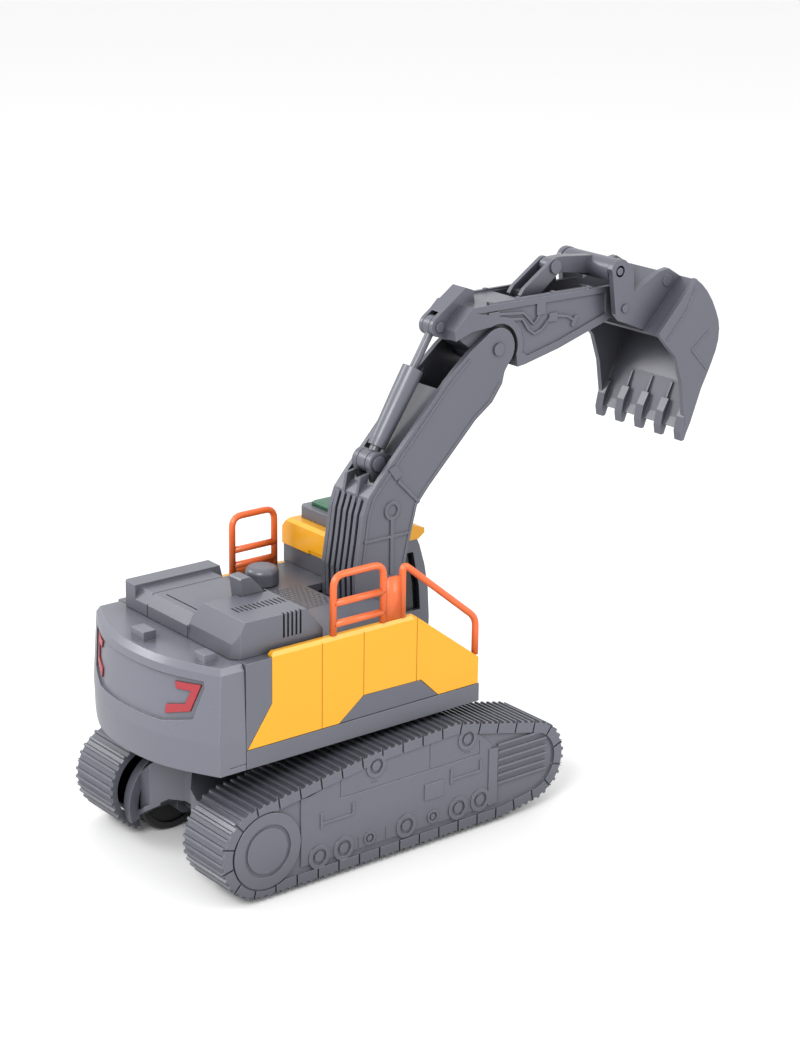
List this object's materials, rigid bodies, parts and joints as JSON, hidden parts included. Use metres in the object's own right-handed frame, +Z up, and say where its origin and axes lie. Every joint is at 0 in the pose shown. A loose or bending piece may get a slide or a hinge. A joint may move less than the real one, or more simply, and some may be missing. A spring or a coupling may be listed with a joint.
{
  "type": "toy excavator",
  "caption": "Toy crawler excavator with a slewing house, hinged boom, stick and bucket, a sliding rod, a linkage, freewheels inside the tracks and a sprung push button.",
  "frame": {"origin": "bottom centre of the bounding box of the whole toy at rest, on the ground between the tracks", "axes": "+X forward along the arm, +Y to the left (cab side), +Z up"},
  "size_m": [0.2662, 0.097, 0.2032],
  "materials": {
    "slate_plastic": "moulded satin plastic",
    "dark_slate_plastic": "moulded satin plastic",
    "grey_plastic": "moulded satin plastic",
    "yellow_plastic": "moulded gloss plastic",
    "orange_plastic": "moulded gloss plastic",
    "red_plastic": "printed red",
    "green_plastic": "moulded gloss plastic",
    "black_plastic": "moulded satin plastic",
    "arm_trim": "moulded satin plastic",
    "tinted_glass": "tinted clear plastic",
    "steel": "plated steel",
    "circuit_board": "solder mask"
  },
  "bodies": {
    "undercarriage": {"chassis_frame": "slate_plastic", "chassis_cover": "slate_plastic", "track_right": "slate_plastic", "track_left": "slate_plastic", "slew_collar": "black_plastic", "slew_screw": "steel", "chassis_screw_rl": "steel", "chassis_screw_rr": "steel", "chassis_screw_f": "steel"},
    "rear_wheelset": {"rear_axle": "steel", "rear_wheel_right": "black_plastic", "rear_wheel_left": "black_plastic"},
    "front_wheelset": {"front_axle": "steel", "front_wheel_right": "black_plastic", "front_wheel_left": "black_plastic"},
    "house": {"house_base": "slate_plastic", "battery_cover": "slate_plastic", "battery_box": "black_plastic", "battery_screw": "steel", "battery_cell_1": "steel", "battery_cell_2": "steel", "sound_board": "circuit_board", "speaker": "black_plastic", "counterweight": "grey_plastic", "taillight_right": "red_plastic", "taillight_left": "red_plastic", "deck": "slate_plastic", "hood": "slate_plastic", "exhaust_stack": "slate_plastic", "filler_cap": "slate_plastic", "panel_right": "yellow_plastic", "panel_left": "yellow_plastic", "insert_right": "dark_slate_plastic", "insert_left": "dark_slate_plastic", "handrail_right": "orange_plastic", "handrail_left": "orange_plastic", "cab_shell": "slate_plastic", "cab_glazing": "tinted_glass", "cab_roof": "yellow_plastic", "button_housing": "slate_plastic", "button_spring": "steel", "boom_pin": "steel", "house_screw_rr": "steel", "house_screw_rl": "steel", "house_screw_fr": "steel", "house_screw_fl": "steel"},
    "button": {"button": "green_plastic"},
    "boom": {"boom": "dark_slate_plastic", "stick_pin": "arm_trim", "cylinder_pin": "arm_trim"},
    "cylinder_barrel": {"cylinder_barrel": "dark_slate_plastic"},
    "cylinder_rod": {"cylinder_rod": "arm_trim"},
    "stick": {"stick": "dark_slate_plastic", "rod_end_pin": "arm_trim", "lever_pin": "steel", "bucket_pin": "arm_trim"},
    "lever": {"lever": "dark_slate_plastic", "lever_top_pin": "arm_trim"},
    "link": {"link": "dark_slate_plastic"},
    "bucket": {"bucket": "dark_slate_plastic"}
  },
  "joints": [
    {"name": "rear_wheels_roll", "type": "hinge", "parent": "undercarriage", "child": "rear_wheelset", "pos_m": [-0.09896, 0, 0.0145], "axis": [0, 1, 0], "continuous": true},
    {"name": "front_wheels_roll", "type": "hinge", "parent": "undercarriage", "child": "front_wheelset", "pos_m": [0.00254, 0, 0.0145], "axis": [0, 1, 0], "continuous": true},
    {"name": "house_slew", "type": "hinge", "parent": "undercarriage", "child": "house", "pos_m": [-0.04346, 0, 0.05], "axis": [0, 0, 1], "continuous": true},
    {"name": "button_press", "type": "slide", "parent": "house", "child": "button", "axis": [0, 0, -1], "range_m": [0, 0.0015], "stiffness_N_per_m": 300, "springref_m": -0.001, "deforming": ["button_spring"]},
    {"name": "boom_raise", "type": "hinge", "parent": "house", "child": "boom", "pos_m": [-0.02596, 0, 0.073], "axis": [0, -1, 0], "range_deg": [-22, 12]},
    {"name": "barrel_swing", "type": "hinge", "parent": "boom", "child": "cylinder_barrel", "pos_m": [-0.02346, 0, 0.1368], "axis": [0, -1, 0], "range_deg": [-0.82, 1]},
    {"name": "rod_slide", "type": "slide", "parent": "cylinder_barrel", "child": "cylinder_rod", "axis": [0.5284, 0, 0.849], "range_m": [-0.0065, 0.0083]},
    {"name": "stick_swing", "type": "hinge", "parent": "boom", "child": "stick", "pos_m": [0.02944, 0, 0.1737], "axis": [0, -1, 0], "range_deg": [-18, 14]},
    {"name": "lever_swing", "type": "hinge", "parent": "stick", "child": "lever", "pos_m": [0.05354, 0, 0.1815], "axis": [0, -1, 0], "range_deg": [-21.72, 10.13]},
    {"name": "link_swing", "type": "hinge", "parent": "lever", "child": "link", "pos_m": [0.06274, 0, 0.2], "axis": [0, -1, 0], "range_deg": [-15.3, 32.93]},
    {"name": "bucket_curl", "type": "hinge", "parent": "stick", "child": "bucket", "pos_m": [0.08904, 0, 0.1825], "axis": [0, -1, 0], "range_deg": [-26, 12]}
  ],
  "couplings": [
    {"joint": "barrel_swing", "follows": "stick_swing", "ratio": -0.0443},
    {"joint": "rod_slide", "follows": "stick_swing", "m_per_rad": -0.0254},
    {"joint": "lever_swing", "follows": "bucket_curl", "ratio": 0.8276},
    {"joint": "link_swing", "follows": "bucket_curl", "ratio": -1.2587}
  ]
}
